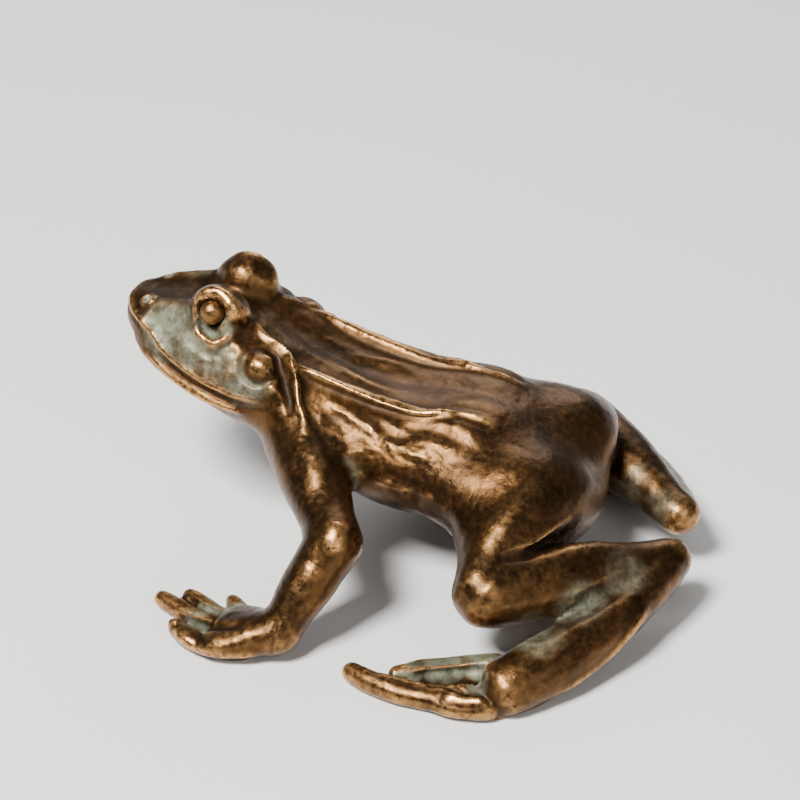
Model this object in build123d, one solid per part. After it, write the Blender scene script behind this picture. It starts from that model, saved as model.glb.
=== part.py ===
from build123d import *
import os
from math import cos, radians, sin, tau

# A cast bronze frog that sits with its head up, in millimetres.
# The frog faces -Y, its left side is +X, and it stands on the plane Z = 0.
# The head and trunk are one casting with a hollow trunk, closed under the belly by an oval plug.
# The limbs are solid castings, each with a dowel that is brazed into the next piece, and with
# a seam at the wrist and on the tarsus. The eyes are beads let into sockets under the brows.

# Body
snout_to_vent = 67.0
trunk_width = 26.0
back_height = 22.2
belly_clearance = 8.4
shell_wall = 2.0
braze_gap = 0.1

# Folds of the skin
back_ridge_radius = 0.65
lip_ridge_radius = 0.8
ear_fold_radius = 0.6
nostril_radius = 0.55
ear_radius = 2.2
ear_depth = 1.6
ear_rise = 0.4
ear_out = 8.1
ear_tilt = 38.0
ear_behind_snout = 21.4
ear_height = 24.8

# Eyes
eye_dome_radius = 3.6
eye_dome_out = 4.4
eye_behind_snout = 14.2
eye_dome_height = 29.5
eye_bead_radius = 1.75
eye_bead_further_out = 1.8
eye_bead_higher = 1.0
eye_pocket_radius = 2.4
eye_pocket_depth = 2.1
eye_socket_clearance = 0.06
eye_stem_radius = 0.6
eye_stem_length = 3.4

# Belly plug
plug_length = 17.0
plug_width = 11.0
plug_behind_snout = 41.0
plug_clearance = 0.08

# Dowels
large_dowel_radius = 1.4
small_dowel_radius = 0.8
large_dowel_grip = 3.4
small_dowel_grip = 1.8
dowel_clearance = 0.05

# Forelegs
shoulder_girth = 10.6
elbow_girth = 7.1
wrist_girth = 5.6
shoulder_out = 7.6
shoulder_behind_snout = 26.4
shoulder_height = 16.6
wrist_height = 3.2
left_elbow_out = 22.6
left_elbow_behind_snout = 36.7
left_elbow_height = 12.4
left_wrist_out = 30.6
left_wrist_behind_snout = 32.4
right_elbow_out = 15.4
right_elbow_behind_snout = 41.2
right_elbow_height = 9.8
right_wrist_out = 21.6
right_wrist_behind_snout = 32.4

# Hands
hand_length = 18.0
hand_width = 9.6
palm_thickness = 3.6
finger_girth = 3.1
finger_height = 1.2
web_thickness = 0.9
left_hand_turn = 7.0
right_hand_turn = 4.0

# Hind legs
hip_girth = 14.4
knee_girth = 8.6
ankle_girth = 5.4
hip_out = 6.6
hip_behind_snout = 56.0
hip_height = 13.6
left_knee_out = 22.0
left_knee_behind_snout = 56.0
left_knee_height = 9.8
left_heel_out = 4.6
left_heel_behind_snout = 73.4
left_heel_height = 7.2
right_knee_out = 16.8
right_knee_behind_snout = 55.8
right_knee_height = 9.4
right_heel_out = 5.2
right_heel_behind_snout = 71.8
right_heel_height = 7.2

# Feet
tarsus_girth = 7.2
left_tarsus_bow = 1.6
right_tarsus_bow = 0.4
instep_height = 2.6
left_instep_out = 29.2
left_instep_behind_snout = 61.2
right_instep_out = 19.8
right_instep_behind_snout = 61.2
foot_length = 20.4
foot_width = 11.0
toe_girth = 3.4
toe_height = 1.3
left_foot_turn = -6.0
right_foot_turn = -2.0
foot_seam_share = 0.3

# One row for each station along the body: its place as a share of the length from the snout to
# the vent, then pairs of shares down one side from the middle of the back to the middle of the
# underside. The first of a pair is a share of half the trunk's width, the second a share of the
# height from the belly to the back.
BODY_SHARES = [
    (0.000, (0.00, 1.37), (0.06, 1.36), (0.11, 1.32), (0.12, 1.27), (0.08, 1.22), (0.00, 1.20)),
    (0.013, (0.00, 1.43), (0.16, 1.40), (0.25, 1.32), (0.27, 1.22), (0.18, 1.12), (0.00, 1.09)),
    (0.045, (0.00, 1.49), (0.26, 1.45), (0.39, 1.31), (0.43, 1.14), (0.31, 0.98), (0.00, 0.94)),
    (0.100, (0.00, 1.53), (0.31, 1.50), (0.50, 1.34), (0.60, 1.10), (0.46, 0.86), (0.00, 0.78)),
    (0.167, (0.00, 1.56), (0.33, 1.54), (0.58, 1.38), (0.72, 1.04), (0.58, 0.76), (0.00, 0.65)),
    (0.234, (0.00, 1.50), (0.38, 1.49), (0.62, 1.35), (0.80, 0.99), (0.67, 0.68), (0.00, 0.55)),
    (0.300, (0.00, 1.34), (0.40, 1.36), (0.65, 1.24), (0.83, 0.92), (0.70, 0.59), (0.00, 0.45)),
    (0.360, (0.00, 1.20), (0.42, 1.22), (0.66, 1.10), (0.84, 0.80), (0.68, 0.48), (0.00, 0.33)),
    (0.430, (0.00, 1.07), (0.42, 1.10), (0.70, 0.98), (0.88, 0.68), (0.71, 0.32), (0.00, 0.18)),
    (0.520, (0.00, 0.98), (0.42, 1.00), (0.74, 0.88), (0.95, 0.55), (0.76, 0.16), (0.00, 0.05)),
    (0.620, (0.00, 0.97), (0.42, 0.97), (0.77, 0.84), (1.00, 0.50), (0.79, 0.11), (0.00, 0.00)),
    (0.710, (0.00, 1.00), (0.40, 1.00), (0.75, 0.85), (0.98, 0.47), (0.76, 0.10), (0.00, 0.00)),
    (0.790, (0.00, 0.92), (0.38, 0.90), (0.67, 0.74), (0.86, 0.42), (0.66, 0.10), (0.00, 0.00)),
    (0.855, (0.00, 0.72), (0.32, 0.68), (0.51, 0.55), (0.64, 0.32), (0.48, 0.09), (0.00, 0.01)),
    (0.912, (0.00, 0.45), (0.22, 0.42), (0.35, 0.34), (0.42, 0.22), (0.31, 0.09), (0.00, 0.05)),
    (0.950, (0.00, 0.25), (0.10, 0.24), (0.16, 0.21), (0.18, 0.16), (0.12, 0.11), (0.00, 0.09)),
]
HOLLOW_ROWS = slice(6, 14)

# Lines on the skin, each point as shares of the body's length, half width and height
BACK_RIDGE_SHARES = [
    (0.290, 0.52, 1.31),
    (0.382, 0.46, 1.17),
    (0.446, 0.43, 1.07),
    (0.530, 0.42, 0.98),
    (0.620, 0.42, 0.96),
    (0.740, 0.41, 0.95),
]
LIP_RIDGE_SHARES = [
    (0.040, 0.42, 1.09),
    (0.110, 0.60, 1.02),
    (0.180, 0.72, 0.93),
    (0.250, 0.79, 0.86),
    (0.310, 0.82, 0.82),
]

EAR_FOLD_SHARES = [
    (0.235, 0.52, 1.42),
    (0.290, 0.60, 1.28),
    (0.335, 0.69, 1.14),
    (0.365, 0.79, 0.97),
]
NOSTRIL_SHARES = (0.045, 0.21, 1.42)

# Along a limb: the place along it, then how far its girth has changed from that of its near
# joint to that of its far joint, then the swelling of the muscle there
UPPER_ARM_SHARES = [
    (0.00, 0.0, 1.00), (0.30, 0.3, 1.00), (0.60, 0.7, 0.98), (0.85, 1.0, 0.96), (1.00, 1.0, 1.00),
]
FOREARM_SHARES = [
    (0.00, 0.0, 1.00), (0.25, 0.2, 1.00), (0.55, 0.6, 1.02), (0.85, 1.0, 0.98), (1.00, 1.0, 1.00),
]
THIGH_SHARES = [
    (0.00, 0.0, 1.00), (0.30, 0.2, 1.03), (0.60, 0.5, 1.04), (0.85, 0.9, 1.02), (1.00, 1.0, 1.00),
]
SHANK_SHARES = [
    (0.00, 0.0, 1.00), (0.22, 0.1, 1.06), (0.45, 0.3, 1.10), (0.70, 0.7, 1.04), (0.90, 1.0, 1.02),
    (1.00, 1.0, 1.00),
]
TARSUS_SHARES = [
    (0.00, 0.0, 1.00), (0.25, 0.5, 1.00), (0.60, 1.0, 1.00), (1.00, 1.0, 1.00),
]
LIMB_FLATNESS_SHARE = 0.94

# Fingers and toes: root, middle and tip, as shares of the width (outward) and length (forward),
# and the share of the girth
FINGER_SHARES = [
    ((0.20, 0.20), (0.37, 0.46), (0.24, 0.70), 1.00),
    ((0.02, 0.36), (-0.06, 0.67), (-0.18, 0.96), 0.94),
    ((-0.10, 0.34), (-0.24, 0.58), (-0.38, 0.80), 0.96),
    ((-0.24, 0.22), (-0.40, 0.38), (-0.56, 0.52), 0.80),
]
FINGER_WEB_SHARES = [(0.34, 0.60), (-0.02, 0.74), (-0.30, 0.68), (-0.50, 0.48), (-0.3, 0.2), (0.3, 0.2)]
PALM_OUT_SHARE = 0.08
PALM_REACH_SHARE = 0.44
PALM_SHARES = [
    (0.00, 0.00, 0.00), (0.30, 0.45, 0.30), (0.60, 0.90, 0.75), (0.85, 0.95, 1.10), (1.00, 0.60, 1.40),
]
DOWEL_ROOT_SHARE = 0.40
RIDGE_TAPER_SHARES = [(0.00, 0.50), (0.20, 1.00), (0.80, 1.00), (1.00, 0.50)]
TOE_SHARES = [
    ((0.28, 0.08), (0.36, 0.24), (0.33, 0.39), 0.80),
    ((0.10, 0.06), (0.27, 0.54), (0.05, 0.92), 1.00),
    ((-0.44, 0.12), (-0.24, 0.42), (-0.03, 0.66), 0.92),
]
TOE_WEB_SHARES = [(0.24, 0.50), (-0.02, 0.64), (-0.28, 0.48), (-0.50, 0.18), (-0.2, -0.1), (0.3, 0.0)]
DIGIT_TAPER_SHARES = [(0.00, 1.00), (0.40, 0.86), (0.75, 0.84), (1.00, 0.72)]

# A rounded end: how far out, and how wide there, as shares of the end's radius
DOME_SHARES = [(0.45, 0.90), (0.80, 0.60), (0.97, 0.24)]
ring_points = 12

# The floor cutter is this many times as wide as the frog is long
cutter_ratio = 3

body_depth = back_height - belly_clearance
cutter_size = snout_to_vent * cutter_ratio


def along_body(share):
    return share * snout_to_vent


def level(share):
    return belly_clearance + share * body_depth


def skin_point(shares, side):
    station, out, up = shares
    return Vector(side * out * trunk_width / 2, along_body(station), level(up))


def closed_wire(points):
    return Wire([Spline(*points, periodic=True)])


def body_ring(row, grow):
    """The body's outline at one station, moved out by grow from the middle of the section."""
    station, *side = row
    half = [(x * trunk_width / 2, level(z)) for x, z in side]
    middle = (half[0][1] + half[-1][1]) / 2
    points = []
    for x, z in half + [(-x, z) for x, z in reversed(half[1:-1])]:
        reach = Vector(x, 0, z - middle)
        moved = reach * ((reach.length + grow) / reach.length)
        points.append(Vector(moved.X, along_body(station), middle + moved.Z))
    return closed_wire(points)


def body_solid(rows=BODY_SHARES, grow=0.0):
    return Solid.make_loft([body_ring(row, grow) for row in rows])


def limb_ring(centre, way, half_width, half_depth):
    """An oval across a limb: its width is level, its depth is square to that."""
    level_way = way.cross(Vector(0, 0, 1)).normalized()
    upright = level_way.cross(way).normalized()
    turns = [tau * n / ring_points for n in range(ring_points)]
    return closed_wire(
        [centre + level_way * (half_width * cos(t)) + upright * (half_depth * sin(t)) for t in turns]
    )


def limb_loft(path, rows, depth_share=1.0, grow=0.0):
    """A limb along a path, with both ends rounded. A row is a place on the path and a girth."""
    stations = []
    for place, girth in rows:
        half = girth / 2 + grow
        stations.append((path.position_at(place), path.tangent_at(place), half))
    rings = [limb_ring(c, way, half, half * depth_share) for c, way, half in stations]
    first, last = stations[0], stations[-1]
    return Solid.make_loft(
        dome_rings(first, depth_share, -1)[::-1] + rings + dome_rings(last, depth_share, 1)
    )


def dome_rings(station, depth_share, sense):
    centre, way, half = station
    rings = []
    for out_share, wide_share in DOME_SHARES:
        wide = half * wide_share
        place = centre + way * (sense * half * depth_share * out_share)
        rings.append(limb_ring(place, way, wide, wide * depth_share))
    return rings


def tapered(shares, near_girth, far_girth):
    """Girths along a limb from one joint to the next."""
    rows = []
    for place, change, swelling in shares:
        rows.append((place, between(near_girth, far_girth, change) * swelling))
    return rows


def between(start, end, share):
    return start + (end - start) * share


def cut_at(solid, point, normal, keep_far):
    """The part of a solid on one side of a plane."""
    plane = Plane(origin=point, z_dir=normal)
    return split(solid, bisect_by=plane, keep=Keep.TOP if keep_far else Keep.BOTTOM)


def dowel(start, end, radius):
    way = end - start
    return Solid.make_cylinder(radius, way.length, Plane(origin=start, z_dir=way.normalized()))


def dowel_pair(near, far, radius):
    """A dowel from near to far, and the hole for it, a little wider and deeper."""
    way = (far - near).normalized()
    hole = dowel(near - way * dowel_clearance, far + way * dowel_clearance, radius + dowel_clearance)
    return dowel(near, far, radius), hole


def mirrored(point, side):
    return Vector(side * point.X, point.Y, point.Z)


def make_arm(side, elbow, wrist):
    """The upper arm from inside the shoulder to the elbow, and the forearm to the wrist."""
    shoulder = Vector(side * shoulder_out, shoulder_behind_snout, shoulder_height)
    upper_path = Line(shoulder, elbow)
    upper_rows = tapered(UPPER_ARM_SHARES, shoulder_girth, elbow_girth)
    upper = limb_loft(upper_path, upper_rows, LIMB_FLATNESS_SHARE)
    lower_rows = tapered(FOREARM_SHARES, elbow_girth, wrist_girth)
    forearm = limb_loft(Line(elbow, wrist), lower_rows, LIMB_FLATNESS_SHARE)
    return upper_path, upper, forearm


def forward_and_out(side, turn):
    """The way that a hand or foot points, turned inward, and the way square to it."""
    forward = Vector(-side * sin(radians(turn)), -cos(radians(turn)), 0)
    return forward, Vector(side * cos(radians(turn)), -sin(radians(turn)), 0)


def digits(root, side, turn, length, width, girth, height, shares):
    forward, outward = forward_and_out(side, turn)
    floor_root = Vector(root.X, root.Y, height)
    solids = []
    for *points, girth_share in shares:
        bends = [floor_root + outward * (a * width) + forward * (b * length) for a, b in points]
        rows = [(place, taper * girth_share * girth) for place, taper in DIGIT_TAPER_SHARES]
        solids.append(limb_loft(ThreePointArc(*bends), rows))
    return solids


def web(root, side, turn, length, width, shares):
    forward, outward = forward_and_out(side, turn)
    floor_root = Vector(root.X, root.Y, 0)
    points = [floor_root + outward * (a * width) + forward * (b * length) for a, b in shares]
    return extrude(make_face(Polyline(*points, close=True)), web_thickness, both=True)


def largest(shape):
    return shape.solids().sort_by(SortBy.VOLUME)[-1]


def on_floor(solid):
    """The solid with all that is below the floor cut away."""
    return solid - Pos(0, 0, -cutter_size / 2) * Box(cutter_size, cutter_size, cutter_size)


def fused(solids):
    whole = solids[0]
    for solid in solids[1:]:
        whole = whole + solid
    return largest(whole)


def make_hand(side, wrist, turn):
    """The palm, its fingers and the skin between them, flat underneath."""
    forward, outward = forward_and_out(side, turn)
    reach = forward * (PALM_REACH_SHARE * hand_length) + outward * (PALM_OUT_SHARE * hand_width)
    knuckle = Vector(wrist.X, wrist.Y, palm_thickness / 2) + reach
    path = Line(wrist, knuckle)
    rings = []
    for place, wide, deep in PALM_SHARES:
        ring = limb_ring(
            path.position_at(place),
            forward,
            between(wrist_girth, hand_width, wide) / 2,
            between(wrist_girth, palm_thickness, deep) / 2,
        )
        rings.append(ring)
    fingers = digits(
        wrist, side, turn, hand_length, hand_width, finger_girth, finger_height, FINGER_SHARES
    )
    skin = web(wrist, side, turn, hand_length, hand_width, FINGER_WEB_SHARES)
    return [Solid.make_loft(rings), skin] + fingers


def make_leg(side, knee, heel, instep, tarsus_bow):
    """The thigh, and the shank with the start of the tarsus, before they are cut apart."""
    hip = Vector(side * hip_out, hip_behind_snout, hip_height)
    thigh_path = Line(hip, knee)
    thigh = limb_loft(thigh_path, tapered(THIGH_SHARES, hip_girth, knee_girth), LIMB_FLATNESS_SHARE)
    shank_path = Line(knee, heel)
    shank_rows = tapered(SHANK_SHARES, knee_girth, ankle_girth)
    shank = limb_loft(shank_path, shank_rows)
    shank_with_gap = limb_loft(shank_path, shank_rows, grow=braze_gap)
    outward = (instep - heel).normalized().cross(Vector(0, 0, -side))
    bow = (heel + instep) / 2 + outward * tarsus_bow
    tarsus_path = ThreePointArc(heel, bow, instep)
    tarsus = limb_loft(
        tarsus_path, tapered(TARSUS_SHARES, ankle_girth, tarsus_girth), LIMB_FLATNESS_SHARE
    )
    return thigh_path, thigh, shank_path, shank, shank_with_gap, tarsus_path, tarsus


def make_toes(side, instep, turn):
    toes = digits(instep, side, turn, foot_length, foot_width, toe_girth, toe_height, TOE_SHARES)
    return toes + [web(instep, side, turn, foot_length, foot_width, TOE_WEB_SHARES)]


def ridge(shares, side, radius):
    """A raised cord of bronze along the skin."""
    path = Spline(*[skin_point(row, side) for row in shares])
    rows = [(place, girth * (radius + radius)) for place, girth in RIDGE_TAPER_SHARES]
    return limb_loft(path, rows)


def eye_dome_centre(side):
    return Vector(side * eye_dome_out, eye_behind_snout, eye_dome_height)


def eye_bead_centre(side):
    return eye_dome_centre(side) + Vector(side * eye_bead_further_out, 0, eye_bead_higher)


def eye_way(side):
    """The way that an eye looks."""
    return (eye_bead_centre(side) - eye_dome_centre(side)).normalized()


def eye_pocket(side):
    """The hollow under the brow that the eye sits in."""
    reach = eye_dome_radius + eye_pocket_radius - eye_pocket_depth
    return ball(eye_dome_centre(side) + eye_way(side) * reach, eye_pocket_radius)


def ball(centre, radius):
    return Pos(centre) * Solid.make_sphere(radius)


def make_eye(side, clearance=0.0):
    """A bead with a stem that runs into the head."""
    inward = Plane(origin=eye_bead_centre(side), z_dir=-eye_way(side))
    bead = Solid.make_sphere(eye_bead_radius + clearance)
    stem = Solid.make_cylinder(eye_stem_radius + clearance, eye_stem_length + clearance)
    return inward.location * fused([bead, stem])


def head_details(side):
    """The brow dome, the ear drum, the ridges and the fold over the ear, of one side."""
    ear_centre = Vector(side * ear_out, ear_behind_snout, ear_height)
    ear_way = Vector(side * cos(radians(ear_tilt)), 0, sin(radians(ear_tilt)))
    return [
        ball(eye_dome_centre(side), eye_dome_radius),
        dowel(ear_centre - ear_way * ear_depth, ear_centre + ear_way * ear_rise, ear_radius),
        ridge(BACK_RIDGE_SHARES, side, back_ridge_radius),
        ridge(LIP_RIDGE_SHARES, side, lip_ridge_radius),
        ridge(EAR_FOLD_SHARES, side, ear_fold_radius),
    ]


def plug_prism(clearance):
    """An upright oval column through the belly, up to the middle of the hollow."""
    outline = make_face(Ellipse(plug_width / 2 + clearance, plug_length / 2 + clearance).wire())
    base = Pos(0, plug_behind_snout, 0) * outline
    return extrude(base, belly_clearance + body_depth / 2, dir=(0, 0, 1))


# The trunk and what is let into it
skin = body_solid()
skin_with_gap = body_solid(grow=braze_gap)
hollow = body_solid(BODY_SHARES[HOLLOW_ROWS], -shell_wall)

SIDES = {
    "left": {
        "side": 1,
        "elbow": (left_elbow_out, left_elbow_behind_snout, left_elbow_height),
        "wrist": (left_wrist_out, left_wrist_behind_snout, wrist_height),
        "hand_turn": left_hand_turn,
        "knee": (left_knee_out, left_knee_behind_snout, left_knee_height),
        "heel": (left_heel_out, left_heel_behind_snout, left_heel_height),
        "instep": (left_instep_out, left_instep_behind_snout, instep_height),
        "tarsus_bow": left_tarsus_bow,
        "foot_turn": left_foot_turn,
    },
    "right": {
        "side": -1,
        "elbow": (right_elbow_out, right_elbow_behind_snout, right_elbow_height),
        "wrist": (right_wrist_out, right_wrist_behind_snout, wrist_height),
        "hand_turn": right_hand_turn,
        "knee": (right_knee_out, right_knee_behind_snout, right_knee_height),
        "heel": (right_heel_out, right_heel_behind_snout, right_heel_height),
        "instep": (right_instep_out, right_instep_behind_snout, instep_height),
        "tarsus_bow": right_tarsus_bow,
        "foot_turn": right_foot_turn,
    },
}

nodes = {}
sockets = []
details = []
for name, row in SIDES.items():
    side = row["side"]
    elbow, wrist, knee, heel, instep = [
        mirrored(Vector(*row[joint]), side) for joint in ("elbow", "wrist", "knee", "heel", "instep")
    ]

    # Foreleg: the arm is doweled into the shell, and the hand onto a dowel of the arm
    arm_path, upper_arm, forearm = make_arm(side, elbow, wrist)
    forward, _ = forward_and_out(side, row["hand_turn"])
    wrist_way = ((wrist - elbow).normalized() + forward).normalized()
    arm = fused([upper_arm - skin_with_gap, cut_at(forearm, wrist, wrist_way, False)])
    peg, hole = dowel_pair(
        arm_path.position_at(DOWEL_ROOT_SHARE), arm_path.position_at(0), large_dowel_radius
    )
    hand_peg, hand_hole = dowel_pair(
        wrist - wrist_way * small_dowel_grip, wrist + wrist_way * small_dowel_grip, small_dowel_radius
    )
    nodes[name + "_arm"] = fused([arm, peg, hand_peg])
    sockets.append(hole)
    hand = fused([forearm] + make_hand(side, wrist, row["hand_turn"]))
    nodes[name + "_hand"] = largest(on_floor(cut_at(hand, wrist, wrist_way, True)) - hand_hole)

    # Hind leg: thigh, then shank and heel, then foot
    thigh_path, thigh, shank_path, shank, shank_with_gap, tarsus_path, tarsus = make_leg(
        side, knee, heel, instep, row["tarsus_bow"]
    )
    knee_way = (thigh_path.tangent_at(1) + shank_path.tangent_at(0)).normalized()
    seam = tarsus_path.position_at(foot_seam_share)
    seam_way = tarsus_path.tangent_at(foot_seam_share)
    thigh = cut_at(thigh, knee, knee_way, False) - skin_with_gap
    peg, hole = dowel_pair(
        thigh_path.position_at(DOWEL_ROOT_SHARE), thigh_path.position_at(0), large_dowel_radius
    )
    sockets.append(hole)
    knee_peg, knee_hole = dowel_pair(
        knee - knee_way * large_dowel_grip, knee + knee_way * large_dowel_grip, large_dowel_radius
    )
    nodes[name + "_thigh"] = fused([largest(thigh), peg, knee_peg])
    whole_shank = cut_at(shank, knee, knee_way, True)
    stub = cut_at(tarsus, seam, seam_way, False)
    foot_peg, foot_hole = dowel_pair(
        seam - seam_way * small_dowel_grip, seam + seam_way * small_dowel_grip, small_dowel_radius
    )
    nodes[name + "_shank"] = largest(fused([whole_shank, stub, foot_peg]) - knee_hole)
    far_tarsus = cut_at(tarsus, seam, seam_way, True) - shank_with_gap
    foot = fused([far_tarsus] + make_toes(side, instep, row["foot_turn"]))
    nodes[name + "_foot"] = largest(on_floor(foot) - foot_hole)

    nodes[name + "_eye"] = make_eye(side)
    details += head_details(side)
    sockets.append(ball(skin_point(NOSTRIL_SHARES, side), nostril_radius))
    sockets.append(eye_pocket(side))
    sockets.append(make_eye(side, eye_socket_clearance))

shell = fused([skin] + details) - hollow - plug_prism(plug_clearance)
for socket in sockets:
    shell = shell - socket
nodes["body_shell"] = largest(shell)
nodes["belly_plate"] = largest((skin & plug_prism(0)) - hollow)

# The origin is below the middle of the whole frog, on the floor
box = Compound(list(nodes.values())).bounding_box()
origin = Vector((box.min.X + box.max.X) / 2, (box.min.Y + box.max.Y) / 2, 0)
os.makedirs("parts", exist_ok=True)
for name, solid in nodes.items():
    export_step(Pos(-origin) * solid, "parts/" + name + ".step")
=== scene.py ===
# %% [markdown]
# # A cast bronze frog
# The frog sits on its folded hind legs with its head up. Its solids come from CAD, one for each
# casting. Here they get the skin that a modeller gives the wax before it is cast: the castings
# are blended into one body, the folds and creases are pressed in with strokes, and the body is
# parted again at the seams, so that each casting keeps its own piece.

import math

import bmesh
import bpy
import numpy as np
from mathutils import Matrix, Vector, noise
from mathutils.bvhtree import BVHTree
from mathutils.kdtree import KDTree


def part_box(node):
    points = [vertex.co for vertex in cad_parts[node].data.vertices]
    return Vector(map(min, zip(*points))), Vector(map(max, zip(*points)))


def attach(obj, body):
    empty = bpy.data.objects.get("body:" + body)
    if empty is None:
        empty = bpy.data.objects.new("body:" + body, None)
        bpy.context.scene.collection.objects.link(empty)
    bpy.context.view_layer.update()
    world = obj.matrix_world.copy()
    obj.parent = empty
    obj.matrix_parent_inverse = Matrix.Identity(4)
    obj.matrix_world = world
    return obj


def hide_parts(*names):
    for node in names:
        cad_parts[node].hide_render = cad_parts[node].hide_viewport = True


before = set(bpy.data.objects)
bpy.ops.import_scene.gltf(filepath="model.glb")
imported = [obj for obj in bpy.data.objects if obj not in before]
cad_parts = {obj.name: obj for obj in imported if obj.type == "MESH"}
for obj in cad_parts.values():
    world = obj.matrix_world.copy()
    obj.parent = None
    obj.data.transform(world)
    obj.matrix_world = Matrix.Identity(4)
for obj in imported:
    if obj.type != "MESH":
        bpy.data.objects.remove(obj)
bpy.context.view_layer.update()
MM = 0.001
print("CAD nodes:", ", ".join(sorted(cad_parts)))

# %% [markdown]
# The frog's own middle plane is not at X = 0, because its left limbs reach further out than its
# right ones and the origin lies below the middle of the whole. Every point below is written in
# millimetres with its x measured from that plane, so a point is mirrored by turning x round.

# %% Find the middle plane
MIDDLE = sum(corner.x for name in ("left_eye", "right_eye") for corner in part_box(name)) / 4
print("middle plane at X = %.2f mm" % (MIDDLE / MM))


def placed(points):
    """Points in metres in the CAD frame, from millimetres measured from the middle plane."""
    return np.array(points, float) * MM + np.array((MIDDLE, 0, 0))


def mirrored(points):
    """The same points on the frog's other side."""
    return [(-x, y, z) for x, y, z in points]


# %% [markdown]
# ## The clay
# A sculptor starts from a rough body. Each CAD casting is copied, its loose triangles are merged,
# and it is swollen by a hair, so that it overlaps the castings beside it. The eyes stay out: they
# are beads, and come last.

# %% Copy the castings
SKIN_NODES = [n for n in sorted(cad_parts) if not n.endswith("_eye")]
SWELL = 0.12 * MM
SAME_POINT = 0.002 * MM


def casting_copy(node):
    bm = bmesh.new()
    bm.from_mesh(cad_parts[node].data)
    bmesh.ops.remove_doubles(bm, verts=bm.verts, dist=SAME_POINT)
    bmesh.ops.recalc_face_normals(bm, faces=bm.faces)
    bm.normal_update()
    for v in bm.verts:
        v.co += v.normal * SWELL
    return bm


clay = bmesh.new()
surfaces = {}
for node in SKIN_NODES:
    copy = casting_copy(node)
    surfaces[node] = BVHTree.FromBMesh(copy)
    mesh = bpy.data.meshes.new("copy")
    copy.to_mesh(mesh)
    clay.from_mesh(mesh)
    copy.free()
    bpy.data.meshes.remove(mesh)
print("clay from castings:", len(clay.faces), "faces")

clay_mesh = bpy.data.meshes.new("frog_skin")
clay.to_mesh(clay_mesh)
clay.free()
skin = bpy.data.objects.new("frog_skin", clay_mesh)
bpy.context.scene.collection.objects.link(skin)

# %% [markdown]
# The rough body is turned into one even net of small squares, as if it had been dipped in wax.
# The hollow inside the trunk comes out as a second net, and is dropped: it can't be seen.

# %% Blend into one skin
VOXEL = 0.23 * MM


def remesh(obj, size):
    modifier = obj.modifiers.new("even_net", "REMESH")
    modifier.mode = "VOXEL"
    modifier.voxel_size = size
    modifier.adaptivity = 0.0
    depsgraph = bpy.context.evaluated_depsgraph_get()
    mesh = bpy.data.meshes.new_from_object(obj.evaluated_get(depsgraph))
    obj.modifiers.clear()
    old = obj.data
    obj.data = mesh
    bpy.data.meshes.remove(old)


def components(number, one, other):
    """A label for each point: points that edges join have the same one."""
    label = np.arange(number)
    while True:
        low = np.minimum(label[one], label[other])
        new = label.copy()
        np.minimum.at(new, one, low)
        np.minimum.at(new, other, low)
        new = new[new]
        if (new == label).all():
            return label
        label = new


def edge_ends(mesh):
    ends = np.empty(len(mesh.edges) * 2, dtype=np.int64)
    mesh.edges.foreach_get("vertices", ends)
    return ends[0::2], ends[1::2]


def keep_largest(mesh):
    label = components(len(mesh.vertices), *edge_ends(mesh))
    best = np.bincount(label).argmax()
    bm = bmesh.new()
    bm.from_mesh(mesh)
    others = [v for v, name in zip(bm.verts, label) if name != best]
    bmesh.ops.delete(bm, geom=others, context="VERTS")
    bm.to_mesh(mesh)
    bm.free()


remesh(skin, VOXEL)
keep_largest(skin.data)
print("skin net:", len(skin.data.vertices), "points")

# %% [markdown]
# ## Sculpting tools
# The skin is kept as arrays of points. A stroke raises or presses the skin along a line, a stamp
# does it round a point, and relaxing evens it out like a wet finger. Each stroke is snapped to
# the skin first, so its points only have to be near it.

# %% Make the sculpting tools
LIKE_FACING = 0.1


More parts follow.
